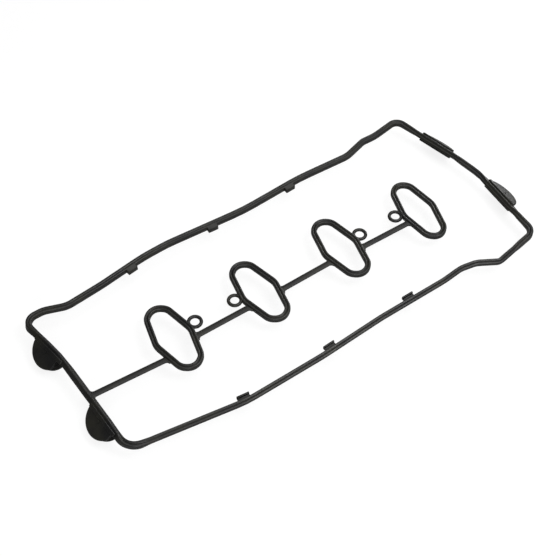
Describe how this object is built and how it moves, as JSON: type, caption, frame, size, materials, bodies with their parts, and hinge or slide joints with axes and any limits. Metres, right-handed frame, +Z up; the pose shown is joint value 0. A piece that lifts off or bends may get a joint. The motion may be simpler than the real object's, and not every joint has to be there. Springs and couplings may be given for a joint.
{
  "type": "valve cover gasket",
  "caption": "Moulded rubber gasket: a beaded rim seal with half-moon end plugs, plug-well rings tied by a flat strip, and round loops beside the rings.",
  "frame": {"origin": "middle of the bounding box in plan, on the ground that the leaning half-moon plugs rest on", "axes": "+X along the row of plug-well rings, towards the end rail that bows outward, +Y across the gasket, towards the long rail that lies far from the camera, +Z up, away from the cylinder head"},
  "size_m": [0.4542, 0.1946, 0.0183],
  "materials": {
    "rubber": "satin, moulded"
  },
  "bodies": {
    "root": {"gasket": "rubber"}
  },
  "joints": []
}
